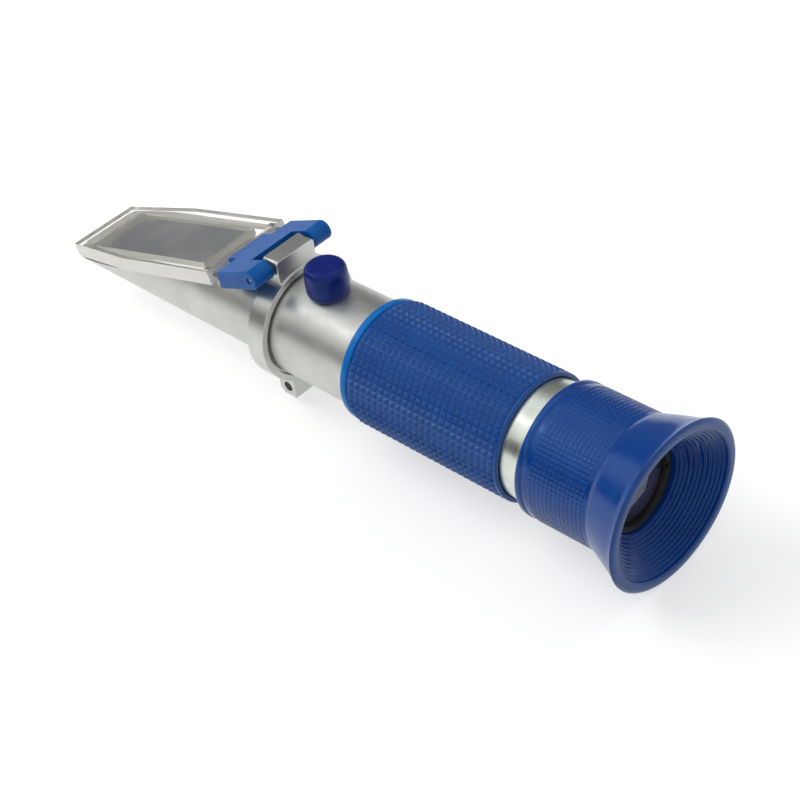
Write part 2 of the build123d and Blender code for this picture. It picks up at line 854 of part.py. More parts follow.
# Spacer tube between the lenses
with BuildPart() as lens_spacer:
    tube(eye_seat, eye_lens_front, cell_through_radius, eye_lens_radius)
save(lens_spacer, "lens_spacer")

# Eye lens and the ring that holds it
with BuildPart() as eye_lens:
    lens(
        eye_lens_front,
        eye_lens_edge,
        eye_lens_radius,
        eye_ring_bore_radius,
        eye_lens_bulge,
        eye_lens_bulge,
    )
save(eye_lens, "eye_lens")

with BuildPart() as eye_lens_ring:
    tube(eye_ring_start, cell_end, eye_ring_bore_radius, eye_lens_radius)
save(eye_lens_ring, "eye_lens_ring")

# Focusing ring, the turning metal sleeve under the rubber
with BuildPart() as focus_ring:
    turned(
        (focus_ring_start, focus_bore_radius),
        (focus_web_start, focus_bore_radius),
        (focus_web_start, cell_radius + free_gap),
        (focus_web_end, cell_radius + free_gap),
        (focus_web_end, flange_bore_radius),
        (stop_ring_end, flange_bore_radius),
        (stop_ring_end, focus_ring_radius),
        (focus_ring_start, focus_ring_radius),
    )
save(focus_ring, "focus_ring")

# Stop ring that keeps the lens cell in the focusing ring
with BuildPart() as stop_ring:
    tube(stop_ring_start, stop_ring_end, neck_bore_radius, flange_bore_radius)
save(stop_ring, "stop_ring")

# Rubber sleeve and eyecup in one piece, stepped inside the cup
lip_centre_radius = cup_radius - cup_lip_radius
lip_centre_station = rim_station - cup_lip_radius
cup_floor_station = rim_station - cup_floor_depth
cup_mouth_radius = lip_centre_radius - cup_lip_radius
step_rise = (cup_mouth_radius - cup_floor_radius) / cup_steps
step_run = (lip_centre_station - cup_floor_station) / cup_steps
cup_stairs = []
for step in range(cup_steps):
    stair_station = lip_centre_station - step * step_run
    stair_radius = cup_mouth_radius - step * step_rise
    cup_stairs.append((stair_station, stair_radius))
    cup_stairs.append((stair_station - step_run, stair_radius))
groove_start = sleeve_start + sleeve_groove_station
groove_end = groove_start + sleeve_groove_width
with BuildPart() as eyecup_sleeve:
    turned(
        (sleeve_start, focus_bore_radius + side_gap),
        (focus_ring_start, focus_bore_radius + side_gap),
        (focus_ring_start, focus_ring_radius),
        (stop_ring_end, focus_ring_radius),
        (stop_ring_end, neck_bore_radius),
        (cup_floor_station, neck_bore_radius),
        (cup_floor_station, cup_floor_radius),
        *reversed(cup_stairs),
        (lip_centre_station, cup_radius - cup_flare_rise),
        (neck_station, sleeve_radius),
        (groove_end, sleeve_radius),
        (groove_end, sleeve_radius - sleeve_groove_depth),
        (groove_start, sleeve_radius - sleeve_groove_depth),
        (groove_start, sleeve_radius),
        (sleeve_start, sleeve_radius),
    )
    front_edges = eyecup_sleeve.edges().filter_by(GeomType.CIRCLE).group_by(Axis.X)[0]
    fillet(front_edges.sort_by(SortBy.RADIUS)[-1], sleeve_edge_round)
    with BuildSketch(side):
        with Locations((lip_centre_station, lip_centre_radius)):
            Circle(cup_lip_radius)
    revolve(axis=barrel_axis)
save(eyecup_sleeve, "eyecup_sleeve")

# Clear cover plate, with a pad underneath that presses on the prism
taper_end = cover_tip + cover_taper_length
cover_base = face.offset(film_gap)
screw_plane = Plane(
    origin=face.from_local_coords((cover_rear - cover_screw_grip, 0, film_gap + cover_thickness / 2)),
    x_dir=(0, 1, 0),
    z_dir=face.x_dir,
)


def cover_screw_rods():
    """Draw the round sections of the two screws that join the cover to its bracket."""
    with BuildSketch(screw_plane) as rods:
        with Locations((-cover_screw_spread, 0), (cover_screw_spread, 0)):
            Circle(cover_screw_radius)
    return rods.sketch


with BuildPart() as cover_plate:
    with BuildSketch(cover_base) as plate_outline:
        with BuildLine():
            Polyline(
                (cover_tip, -cover_tip_half_width),
                (taper_end, -cover_half_width),
                (cover_rear, -cover_half_width),
                (cover_rear, cover_half_width),
                (taper_end, cover_half_width),
                (cover_tip, cover_tip_half_width),
                close=True,
            )
        make_face()
        tip_corners, bends, rear_corners = plate_outline.vertices().group_by(Axis.X)
        fillet(bends, cover_bend_round)
        fillet(tip_corners + rear_corners, cover_corner_round)
    extrude(amount=cover_thickness)
    with BuildSketch(cover_base):
        add(plate_outline.sketch_local)
        offset(amount=-rim_width)
        with Locations((cover_tip + pad_start + pad_length / 2, 0)):
            Rectangle(pad_length, 2 * pad_half_width, mode=Mode.SUBTRACT)
    extrude(amount=pad_groove_depth, mode=Mode.SUBTRACT)
    extrude(cover_screw_rods(), amount=cover_screw_length, mode=Mode.SUBTRACT)
save(cover_plate, "cover_plate")

# Two screws between the cover's rear edge and the arms of the bracket
with BuildPart() as cover_screws:
    extrude(cover_screw_rods(), amount=cover_screw_length)
save(cover_screws, "cover_screws")

# Plastic hinge bracket, two arms joined by a bridge whose tongue meets the cover
arm_inner = block_half_width + arm_gap
bridge_base = knuckle_radius - bridge_thickness
tongue_reach = 2 * arm_reach
with BuildPart() as hinge_bracket:
    with BuildSketch(arm_side):
        with BuildLine():
            Polyline(
                (-arm_reach, knuckle_radius),
                (0, knuckle_radius),
                (0, -knuckle_radius),
                (-arm_reach - arm_front_lean, arm_front_rise - knuckle_radius),
                close=True,
            )
        make_face()
        Circle(knuckle_radius)
    extrude(amount=bracket_half_width, both=True)
    outer_edges = hinge_bracket.faces().filter_by(Axis.Y).edges()
    fillet(outer_edges, bracket_edge_round)
    with BuildSketch(arm_side):
        Rectangle(2 * tongue_reach, 2 * tongue_reach)
    extrude(amount=arm_inner, both=True, mode=Mode.SUBTRACT)
    with BuildSketch(arm_side):
        with BuildLine():
            Polyline(
                (-arm_reach, knuckle_radius),
                (-bridge_gap, knuckle_radius),
                (-bridge_gap, bridge_base),
                (-arm_reach, bridge_base),
                close=True,
            )
        make_face()
    extrude(amount=arm_inner, both=True)
    with BuildSketch(arm_side):
        with BuildLine():
            Polyline(
                (-tongue_reach, knuckle_radius),
                (-arm_reach, knuckle_radius),
                (-arm_reach, bridge_base),
                (-tongue_reach, bridge_base),
                close=True,
            )
        make_face()
    extrude(amount=tongue_half_width, both=True)
    with BuildSketch(face.offset(-housing_radius)):
        with Locations((cover_rear + free_gap - cover_length / 2, 0)):
            Rectangle(cover_length, 2 * bracket_half_width)
    extrude(amount=housing_reach, mode=Mode.SUBTRACT)
    extrude(cover_screw_rods(), amount=cover_screw_length, mode=Mode.SUBTRACT)
    with BuildSketch(pin_side):
        Circle(pin_radius + running_gap)
    extrude(amount=bracket_half_width, both=True, mode=Mode.SUBTRACT)
save(hinge_bracket, "hinge_bracket")
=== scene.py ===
# %% [markdown]
# # Dressing a handheld refractometer
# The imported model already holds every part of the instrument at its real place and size.
# Here it gets what a photograph shows: textured rubber, satin metal, clear plastic and glass.
# Everything is in metres, and the barrel lies along X with its eyepiece towards +X.

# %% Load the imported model
import json
import math

import bmesh
import bpy
from mathutils import Matrix, Vector

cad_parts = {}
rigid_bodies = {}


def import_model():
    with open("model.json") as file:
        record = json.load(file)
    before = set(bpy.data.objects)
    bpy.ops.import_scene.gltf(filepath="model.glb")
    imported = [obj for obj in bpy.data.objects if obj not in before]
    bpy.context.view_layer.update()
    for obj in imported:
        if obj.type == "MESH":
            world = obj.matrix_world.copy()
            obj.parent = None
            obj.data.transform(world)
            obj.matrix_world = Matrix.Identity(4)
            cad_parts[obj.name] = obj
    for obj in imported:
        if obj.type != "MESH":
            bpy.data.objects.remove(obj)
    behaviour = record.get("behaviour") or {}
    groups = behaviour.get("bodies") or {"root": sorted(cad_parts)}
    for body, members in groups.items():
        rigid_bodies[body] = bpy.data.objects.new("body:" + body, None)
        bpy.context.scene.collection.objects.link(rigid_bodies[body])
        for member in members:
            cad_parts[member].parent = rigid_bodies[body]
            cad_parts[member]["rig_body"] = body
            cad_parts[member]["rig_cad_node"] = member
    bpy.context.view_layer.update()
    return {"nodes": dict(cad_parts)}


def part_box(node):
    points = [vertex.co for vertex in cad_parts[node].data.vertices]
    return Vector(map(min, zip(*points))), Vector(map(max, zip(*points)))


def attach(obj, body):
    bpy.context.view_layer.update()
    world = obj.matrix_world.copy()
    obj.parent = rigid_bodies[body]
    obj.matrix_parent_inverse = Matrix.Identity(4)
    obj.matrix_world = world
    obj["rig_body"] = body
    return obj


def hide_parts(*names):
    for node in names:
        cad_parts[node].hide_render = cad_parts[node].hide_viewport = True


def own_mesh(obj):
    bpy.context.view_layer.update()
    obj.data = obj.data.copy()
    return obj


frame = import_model()
mm = 0.001

# %% [markdown]
# ## The camera
# A product photograph is taken from a little way off with a long lens, from above and from the
# eyepiece end. The camera is therefore given as an aim point on the instrument, a distance, two
# angles and a slight roll, which are the numbers a photographer would note down.

# %% Set up the camera
view_aim = Vector((13.11, -0.40, 9.43)) * mm
view_distance = 419.4 * mm
view_azimuth = math.radians(49.0)
view_elevation = math.radians(40.14)
view_roll = math.radians(-9.12)
photo_width = 800
focal_pixels = 1905.9

view_back = Vector((
    math.sin(view_azimuth) * math.cos(view_elevation),
    -math.cos(view_azimuth) * math.cos(view_elevation),
    math.sin(view_elevation),
))
level_right = Vector((0, 0, 1)).cross(view_back).normalized()
level_up = view_back.cross(level_right)
view_right = level_right * math.cos(view_roll) + level_up * math.sin(view_roll)
view_up = level_up * math.cos(view_roll) - level_right * math.sin(view_roll)

camera_data = bpy.data.cameras.new("camera")
camera = bpy.data.objects.new("camera", camera_data)
bpy.context.scene.collection.objects.link(camera)
camera_data.sensor_width = 36
camera_data.lens = focal_pixels / photo_width * camera_data.sensor_width
camera_data.clip_start = 0.01
camera.matrix_world = Matrix.Translation(view_aim + view_back * view_distance) @ Matrix((
    (view_right.x, view_up.x, view_back.x, 0),
    (view_right.y, view_up.y, view_back.y, 0),
    (view_right.z, view_up.z, view_back.z, 0),
    (0, 0, 0, 1),
))
bpy.context.scene.camera = camera
print("Lens in mm:", round(camera_data.lens, 1))

# %% [markdown]
# ## Finding places on the instrument
# Turned parts are easiest to describe as they are on a lathe drawing, by stations along the
# axis and radii from it. Station 0 is the rear face of the clamp collar.

# %% Read stations and radii from the frame
collar_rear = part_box("clamp_collar")[1].x
barrel_low, barrel_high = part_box("barrel_tube")
axis_height = (barrel_low.z + barrel_high.z) / 2
barrel_radius = (barrel_high.z - barrel_low.z) / 2


def at(station):
    """Give the place along X of a station in millimetres."""
    return collar_rear + station * mm


def radius_of(node):
    """Give the outer radius of a turned CAD node."""
    low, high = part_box(node)
    return (high.y - low.y) / 2


print("Axis height and barrel radius in mm:", round(axis_height / mm, 2), round(barrel_radius / mm, 2))

# %% [markdown]
# ## Working in edit mode from a script
# A modeller picks faces with the mouse. A script picks them by where they are or which way they
# face, so these helpers wrap selection, and everything else is Blender's own operators.

# %% Helpers for selecting and shaping
select_modes = {"VERT": (True, False, False), "EDGE": (False, True, False), "FACE": (False, False, True)}


def only(piece):
    """Select one object and make it the active one."""
    bpy.ops.object.select_all(action="DESELECT")
    piece.select_set(True)
    bpy.context.view_layer.objects.active = piece


def edit(piece, kind):
    """Enter edit mode on a piece with nothing selected, ready to pick one kind of element."""
    only(piece)
    bpy.context.tool_settings.mesh_select_mode = select_modes[kind]
    bpy.ops.object.mode_set(mode="EDIT")
    bpy.ops.mesh.select_all(action="DESELECT")


def leave_edit():
    """Go back to object mode."""
    bpy.ops.object.mode_set(mode="OBJECT")


def pick_faces(test):
    """Select the faces whose middle and normal pass a test."""
    mesh = bmesh.from_edit_mesh(bpy.context.edit_object.data)
    for face in mesh.faces:
        face.select_set(test(face.calc_center_median(), face.normal))
    bmesh.update_edit_mesh(bpy.context.edit_object.data)


def pick_edges(test):
    """Select the edges whose middle and direction pass a test."""
    mesh = bmesh.from_edit_mesh(bpy.context.edit_object.data)
    for edge in mesh.edges:
        start, end = (corner.co for corner in edge.verts)
        edge.select_set(test((start + end) / 2, (end - start).normalized()))
    bmesh.update_edit_mesh(bpy.context.edit_object.data)


def pick_corners(test):
    """Select the vertices whose place passes a test."""
    mesh = bmesh.from_edit_mesh(bpy.context.edit_object.data)
    for corner in mesh.verts:
        corner.select_set(test(corner.co))
    bmesh.update_edit_mesh(bpy.context.edit_object.data)


def apply_place(piece):
    """Move an object's place, turn and size into its mesh."""
    only(piece)
    bpy.ops.object.transform_apply(location=True, rotation=True, scale=True)


def apply_modifiers(piece):
    """Apply every modifier of a piece, in order."""
    only(piece)
    for modifier in list(piece.modifiers):
        bpy.ops.object.modifier_apply(modifier=modifier.name)


def cut(piece, cutter):
    """Take one block away from another and drop the cutter."""
    cutting = piece.modifiers.new("cut", "BOOLEAN")
    cutting.operation = "DIFFERENCE"
    cutting.object = cutter
    apply_modifiers(piece)
    bpy.data.objects.remove(cutter)


def smooth(piece, degrees):
    """Shade a piece smoothly, with edges sharper than an angle kept crisp."""
    only(piece)
    bpy.ops.object.shade_smooth_by_angle(angle=math.radians(degrees))


def level_faces(piece):
    """Keep broad faces flat in the shading, so that only the small bevels look round."""
    only(piece)
    levelled = piece.modifiers.new("level_faces", "WEIGHTED_NORMAL")
    levelled.keep_sharp = True
    bpy.ops.object.modifier_apply(modifier=levelled.name)


def dress(piece, material, slot, body, *nodes):
    """Give a finished piece its material, its body and the CAD nodes it stands for. The slot is not used."""
    piece.data.materials.clear()
    piece.data.materials.append(material)
    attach(piece, body)
    if nodes:
        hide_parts(*nodes)
    print(piece.name, "has", len(piece.data.polygons), "faces")


# %% [markdown]
# ## A lathe made of extrusions
# Most of this instrument is turned. One circle is pulled along the axis ring by ring, each time
# extruded, moved and scaled, which is the same as drawing a profile and gives clean quads that
# later steps can texture.

# %% A helper that turns a piece
def turned(name, rings, sides, upright_at=None):
    """Pull a circle through rings of (place, radius), along X or, at a given place, along Z."""
    bpy.ops.object.select_all(action="DESELECT")
    upright = upright_at is not None
    step = Vector((0, 0, 1)) if upright else Vector((1, 0, 0))
    foot = Vector((upright_at, 0, 0)) if upright else Vector((0, 0, axis_height))
    turn = (0, 0, 0) if upright else (0, math.pi / 2, 0)
    (place, radius), *others = rings
    start = foot + step * place
    bpy.ops.mesh.primitive_circle_add(vertices=sides, radius=radius, location=start, rotation=turn)
    piece = bpy.context.active_object
    piece.name = name
    apply_place(piece)
    edit(piece, "EDGE")
    bpy.ops.mesh.select_all(action="SELECT")
    for next_place, next_radius in others:
        bpy.ops.mesh.extrude_region_move(TRANSFORM_OT_translate={"value": step * (next_place - place)})
        size = next_radius / radius
        stretch = (size, size, 1) if upright else (1, size, size)
        bpy.ops.transform.resize(value=stretch, center_override=foot + step * next_place)
        place, radius = next_place, next_radius
    bpy.ops.mesh.select_all(action="SELECT")
    bpy.ops.mesh.remove_doubles(threshold=0.01 * mm)
    bpy.ops.mesh.normals_make_consistent(inside=False)
    leave_edit()
    print(name, "is turned through", len(rings), "rings")
    return piece


def arc(centre_place, centre_radius, size, start, end, steps):
    """Give the rings of a round edge, between two angles in degrees from the direction of the axis."""
    rings = []
    for number in range(steps + 1):
        angle = math.radians(start + (end - start) * number / steps)
        rings.append((centre_place + size * math.cos(angle), centre_radius + size * math.sin(angle)))
    return rings


# %% [markdown]
# ## Mixing finishes
# Each material starts from Blender's own shader. What is the same all over is set on its
# sockets, and what varies, such as grain, turning marks or dust, comes from textures that read
# Object coordinates, so a pattern stays put when a part moves.

# %% Helpers for materials
def srgb(red, green, blue):
    """Turn a colour as a picture shows it, 0 to 255, into the linear colour that a shader wants."""
    def linear(value):
        share = value / 255
        return share / 12.92 if share <= 0.04045 else ((share + 0.055) / 1.055) ** 2.4
    return (linear(red), linear(green), linear(blue), 1.0)


def new_finish(name, **sockets):
    """Start a material and set the shader's own sockets. Underscores in names stand for spaces."""
    finish = bpy.data.materials.new(name)
    finish.use_nodes = True
    shader = finish.node_tree.nodes["Principled BSDF"]
    for socket, value in sockets.items():
        shader.inputs[socket.replace("_", " ")].default_value = value
    print("Mixing", name)
    return finish


def node(finish, kind, **settings):
    """Add a node. Settings that name an input set that input, and others set the node itself."""
    made = finish.node_tree.nodes.new(kind)
    for name, value in settings.items():
        socket = name.replace("_", " ")
        if socket in made.inputs:
            made.inputs[socket].default_value = value
        else:
            setattr(made, name, value)
    return made


def wire(finish, source, target):
    """Join an output to an input."""
    finish.node_tree.links.new(source, target)


def shader_of(finish):
    """Give a material's main shader."""
    return finish.node_tree.nodes["Principled BSDF"]


def places(finish, scale=(1, 1, 1), turn=(0, 0, 0), centre=(0, 0, 0)):
    """Give Object coordinates, moved to a centre, turned and stretched."""
    coordinates = node(finish, "ShaderNodeTexCoord")
    centred = node(finish, "ShaderNodeMapping", vector_type="POINT")
    centred.inputs["Location"].default_value = [-value for value in centre]
    stretched = node(finish, "ShaderNodeMapping", vector_type="POINT")
    stretched.inputs["Rotation"].default_value = turn
    stretched.inputs["Scale"].default_value = scale
    wire(finish, coordinates.outputs["Object"], centred.inputs["Vector"])
    wire(finish, centred.outputs["Vector"], stretched.inputs["Vector"])
    return stretched.outputs["Vector"]


def grain(finish, vector, size, detail=4.0, roughness=0.6):
    """Give a noise whose blotches are about so many metres wide."""
    noise = node(finish, "ShaderNodeTexNoise", Scale=1 / size, Detail=detail, Roughness=roughness)
    wire(finish, vector, noise.inputs["Vector"])
    return noise.outputs["Fac"]


def ranged(finish, factor, low, high, start, end):
    """Stretch a factor that runs from start to end, so that it runs from low to high."""
    stretch = node(finish, "ShaderNodeMapRange", From_Min=start, From_Max=end, To_Min=low, To_Max=high)
    wire(finish, factor, stretch.inputs["Value"])
    return stretch.outputs["Result"]


def vary(finish, factor, socket, low, high, start=0.35, end=0.65):
    """Let a factor move one of the shader's sockets between two values."""
    wire(finish, ranged(finish, factor, low, high, start, end), shader_of(finish).inputs[socket])


def tint(finish, factor, low_colour, high_colour, start=0.35, end=0.65):
    """Let a factor move the base colour between two colours."""
    ramp = node(finish, "ShaderNodeValToRGB")
    ramp.color_ramp.elements[0].position = start
    ramp.color_ramp.elements[1].position = end
    ramp.color_ramp.elements[0].color = low_colour
    ramp.color_ramp.elements[1].color = high_colour
    wire(finish, factor, ramp.inputs["Fac"])
    wire(finish, ramp.outputs["Color"], shader_of(finish).inputs["Base Color"])


def raise_by(finish, factor, depth, strength=1.0):
    """Turn a factor into relief of a given depth in metres."""
    relief = node(finish, "ShaderNodeBump", Strength=strength, Distance=depth)
    wire(finish, factor, relief.inputs["Height"])
    wire(finish, relief.outputs["Normal"], shader_of(finish).inputs["Normal"])


def show(finish, *nodes):
    """Give a material to CAD nodes that are shown as they are."""
    for name in nodes:
        materials = frame["nodes"][name].data.materials
        materials.clear()
        materials.append(finish)
    print(finish.name, "goes on", ", ".join(nodes))


# %% [markdown]
# ## Satin metal
# The barrel and the prism housing are aluminium, bead-blasted and clear anodised. That is a
# metal with a fairly rough reflection, a very fine grain and a slight cloudiness.

# %% Anodised aluminium for the barrel and the housing
anodised = new_finish("satin_anodised_aluminium", Metallic=1.0)
fine_places = places(anodised)
tint(anodised, grain(anodised, fine_places, 9 * mm), srgb(196, 197, 193), srgb(206, 207, 203))
vary(anodised, grain(anodised, fine_places, 2.5 * mm), "Roughness", 0.38, 0.45)
raise_by(anodised, grain(anodised, fine_places, 0.09 * mm, detail=2.0), 0.004 * mm, strength=0.5)

# %% [markdown]
# The clamp collar is turned and left plainer, so it is a little shinier, with marks round the
# axis. Stretching a noise hard across the axis leaves fine rings. The ring between grip and
# eyepiece is polished brighter, and its marks are fainter.

# %% Turned aluminium for the collar, and a brighter finish for the silver ring
turned_metal = new_finish("turned_aluminium", Metallic=1.0)
ring_places = places(turned_metal, scale=(1, 0.02, 0.02), centre=(0, 0, axis_height))
turned_cloud = grain(turned_metal, places(turned_metal), 6 * mm)
tint(turned_metal, turned_cloud, srgb(194, 196, 192), srgb(206, 208, 203))
vary(turned_metal, grain(turned_metal, ring_places, 0.35 * mm), "Roughness", 0.30, 0.38)
raise_by(turned_metal, grain(turned_metal, ring_places, 0.12 * mm, detail=2.0), 0.001 * mm, strength=0.5)

silver = new_finish("polished_silver_ring", Metallic=1.0)
silver_places = places(silver, scale=(1, 0.03, 0.03), centre=(0, 0, axis_height))
tint(silver, grain(silver, places(silver), 5 * mm), srgb(205, 213, 203), srgb(222, 228, 220))
vary(silver, grain(silver, silver_places, 0.8 * mm), "Roughness", 0.26, 0.30)
raise_by(silver, grain(silver, silver_places, 0.4 * mm, detail=2.0), 0.0002 * mm, strength=0.3)

# %% [markdown]
# Screws and pins are plain steel, and the calibration parts are brass. What holds the glass is
# blackened, so that no stray light gets round. Each has a grain of its own, because one flat
# colour would look like paint.

# %% Steel, brass and blackened metal for small and inner parts
steel = new_finish("plain_steel", Metallic=1.0)
tint(steel, grain(steel, places(steel), 0.8 * mm), srgb(150, 148, 144), srgb(190, 189, 186))
vary(steel, grain(steel, places(steel), 0.4 * mm), "Roughness", 0.22, 0.38)
raise_by(steel, grain(steel, places(steel), 0.15 * mm), 0.004 * mm, strength=0.5)

brass = new_finish("turned_brass", Metallic=1.0)
tint(brass, grain(brass, places(brass), 2 * mm), srgb(190, 156, 92), srgb(212, 180, 116))
vary(brass, grain(brass, places(brass), 0.6 * mm), "Roughness", 0.25, 0.38)
raise_by(brass, grain(brass, places(brass), 0.15 * mm), 0.003 * mm, strength=0.4)

blackened = new_finish("black_anodised_metal", Metallic=0.4)
tint(blackened, grain(blackened, places(blackened), 1.5 * mm), srgb(20, 20, 22), srgb(34, 34, 37))
vary(blackened, grain(blackened, places(blackened), 0.8 * mm), "Roughness", 0.42, 0.58)
raise_by(blackened, grain(blackened, places(blackened), 0.1 * mm), 0.003 * mm, strength=0.4)

# %% [markdown]
# The two screws behind the cover show their thread. A wave pattern that runs along the screw
# stands for it, turned to the slope of the prism face. It raises the thread as relief, and its
# dark and light bands are painted shade in the grooves and painted light on the crests.

# %% Threaded steel
face_slope = math.radians(16.5)
thread_pitch = 0.35 * mm
threaded = new_finish("threaded_steel", Metallic=1.0)
thread_places = places(threaded, turn=(0, face_slope, 0))
# At a scale of 1, a Wave texture repeats every 2 pi / 20.
thread_relief_and_shade = node(threaded, "ShaderNodeTexWave", wave_type="BANDS", bands_direction="X", wave_profile="SIN")
thread_relief_and_shade.inputs["Scale"].default_value = 2 * math.pi / thread_pitch / 20
wire(threaded, thread_places, thread_relief_and_shade.inputs["Vector"])
# The dark bands are painted shade in the thread's grooves, and the light bands are painted light on its
# crests.
tint(threaded, thread_relief_and_shade.outputs["Fac"], srgb(88, 82, 74), srgb(176, 172, 165), start=0.2, end=0.8)
vary(threaded, grain(threaded, thread_places, 0.6 * mm), "Roughness", 0.25, 0.45)
raise_by(threaded, thread_relief_and_shade.outputs["Fac"], 0.1 * mm)

# %% [markdown]
# ## Rubber and coloured plastic
# The grip is soft rubber: dark blue, with small soft highlights. The eyecup is the same blue but
# smoother. The cap is dipped vinyl, darker and shinier, and the hinge bracket and the band are
# moulded plastic. A plain white highlight would make such a deep blue look chalky, so the
# specular tint leans to blue.

# %% Blue rubber for the grip
cold_glint = (0.55, 0.80, 1.0, 1.0)
grip_rubber = new_finish("blue_grip_rubber", Specular_IOR_Level=0.6, Specular_Tint=cold_glint)
grip_places = places(grip_rubber)
tint(grip_rubber, grain(grip_rubber, grip_places, 4 * mm), srgb(2, 62, 136), srgb(4, 70, 148))
vary(grip_rubber, grain(grip_rubber, grip_places, 1.1 * mm), "Roughness", 0.26, 0.36)
raise_by(grip_rubber, grain(grip_rubber, grip_places, 0.12 * mm), 0.012 * mm, strength=0.5)

# %% Smoother blue rubber for the eyecup
cup_rubber = new_finish("blue_eyecup_rubber", Specular_IOR_Level=0.5, Specular_Tint=cold_glint)
cup_places = places(cup_rubber)
tint(cup_rubber, grain(cup_rubber, cup_places, 7 * mm), srgb(2, 56, 132), srgb(4, 64, 142))
vary(cup_rubber, grain(cup_rubber, cup_places, 2.0 * mm), "Roughness", 0.17, 0.25)
raise_by(cup_rubber, grain(cup_rubber, cup_places, 0.10 * mm), 0.006 * mm, strength=0.4)

# %% Vinyl, moulded plastic and the bright band
vinyl = new_finish("navy_vinyl", Specular_IOR_Level=0.3, Specular_Tint=cold_glint)
vinyl_places = places(vinyl)
tint(vinyl, grain(vinyl, vinyl_places, 2.5 * mm), srgb(3, 24, 102), srgb(6, 30, 114))
vary(vinyl, grain(vinyl, vinyl_places, 1.2 * mm), "Roughness", 0.24, 0.34)
raise_by(vinyl, grain(vinyl, vinyl_places, 0.8 * mm, detail=1.0), 0.02 * mm, strength=0.3)

moulded = new_finish("blue_moulded_plastic", Specular_IOR_Level=0.3, Specular_Tint=cold_glint)
moulded_places = places(moulded)
tint(moulded, grain(moulded, moulded_places, 3 * mm), srgb(2, 78, 152), srgb(4, 88, 164))
vary(moulded, grain(moulded, moulded_places, 0.9 * mm), "Roughness", 0.34, 0.46)
raise_by(moulded, grain(moulded, moulded_places, 0.15 * mm), 0.008 * mm, strength=0.5)

azure = new_finish("azure_band_plastic", Specular_IOR_Level=0.3, Specular_Tint=cold_glint)
azure_places = places(azure)
tint(azure, grain(azure, azure_places, 3 * mm), srgb(0, 100, 178), srgb(2, 112, 192))
vary(azure, grain(azure, azure_places, 1 * mm), "Roughness", 0.22, 0.32)
raise_by(azure, grain(azure, azure_places, 0.3 * mm), 0.004 * mm, strength=0.4)

seal_rubber = new_finish("black_seal_rubber", Specular_IOR_Level=0.4)
tint(seal_rubber, grain(seal_rubber, places(seal_rubber), 1 * mm), srgb(24, 24, 24), srgb(38, 38, 38))
vary(seal_rubber, grain(seal_rubber, places(seal_rubber), 0.5 * mm), "Roughness", 0.5, 0.65)

# %% [markdown]
# ## Clear plastic and glass
# The cover is polished acrylic. Its sides are milled and stay a little cloudy, so the angle
# between a face and the plate decides how clear the face is. The prism sits over a dark pocket
# and is made as smooth glass that nothing shines through. Its grey, with soft blotches, is
# painted shade from that pocket and painted reflection, and it also renders cleanly under the cover.
# The lenses carry a thin coating that reflects blue.

# %% Acrylic, prism glass and coated lenses
acrylic = new_finish("clear_acrylic", IOR=1.49)
acrylic_places = places(acrylic)
tint(acrylic, grain(acrylic, acrylic_places, 12 * mm), srgb(254, 252, 248), srgb(255, 254, 251))
vary(acrylic, grain(acrylic, acrylic_places, 1.5 * mm), "Roughness", 0.0, 0.035)
facing = node(acrylic, "ShaderNodeTexCoord")
along_plate = node(acrylic, "ShaderNodeVectorMath", operation="DOT_PRODUCT")
along_plate.inputs[1].default_value = (-math.sin(face_slope), 0, math.cos(face_slope))
broad_face = node(acrylic, "ShaderNodeMath", operation="ABSOLUTE")
wire(acrylic, facing.outputs["Normal"], along_plate.inputs[0])
wire(acrylic, along_plate.outputs["Value"], broad_face.inputs[0])
vary(acrylic, broad_face.outputs[0], "Transmission Weight", 0.35, 1.0, start=0.1, end=0.5)
raise_by(acrylic, grain(acrylic, acrylic_places, 1.4 * mm, detail=1.0), 0.004 * mm, strength=0.35)

prism_glass = new_finish("prism_glass", IOR=1.6)
prism_places = places(prism_glass)
prism_painted_shade_blotches = grain(prism_glass, prism_places, 16 * mm, detail=1.0)
# The grey and its blotches are painted shade of the dark pocket and painted reflection, because the clear
# glass has no grey of its own.
tint(prism_glass, prism_painted_shade_blotches, srgb(132, 137, 146), srgb(160, 164, 168))
vary(prism_glass, grain(prism_glass, prism_places, 3 * mm), "Roughness", 0.08, 0.16)

coating = (0.72, 0.84, 1.0, 1.0)
lens_glass = new_finish(
    "coated_lens_glass", Transmission_Weight=0.85, IOR=1.52, Specular_IOR_Level=0.9, Specular_Tint=coating,
)
lens_places = places(lens_glass)
tint(lens_glass, grain(lens_glass, lens_places, 4 * mm), srgb(120, 116, 150), srgb(136, 130, 160))
vary(lens_glass, grain(lens_glass, lens_places, 3 * mm), "Roughness", 0.02, 0.06)

scale_glass = new_finish("bare_scale_glass", Transmission_Weight=0.9, IOR=1.52)
tint(scale_glass, grain(scale_glass, places(scale_glass), 4 * mm), srgb(225, 235, 230), srgb(238, 244, 240))
vary(scale_glass, grain(scale_glass, places(scale_glass), 3 * mm), "Roughness", 0.02, 0.08)

# %% [markdown]
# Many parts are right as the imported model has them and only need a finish. Their meshes stay as
# they are, so the material goes straight into their slots.

# %% Give those parts their finishes
show(anodised, "barrel_tube")
show(silver, "eyepiece_tube", "focus_ring")
show(steel, "clamp_screw", "hinge_pin", "guide_key", "screw_clip", "strip_screws")
show(steel, "temperature_strip")
show(threaded, "cover_screws")
show(brass, "calibration_bush", "calibration_screw", "adjuster_nut")
show(blackened, "field_lens_ring", "lens_cell", "lens_spacer", "light_baffle")
show(blackened, "objective_cell", "objective_ring", "reticle_cell", "reticle_ring", "stop_ring")
show(prism_glass, "measuring_prism")
show(lens_glass, "eye_lens", "field_lens", "objective_lens")
show(scale_glass, "reticle_disc")

# %% [markdown]
# ## The bright band
# A narrow ring with soft edges sits in front of the grip. Its edges matter more than its width,
# because each one carries a thin highlight, so it is turned with rounded corners.

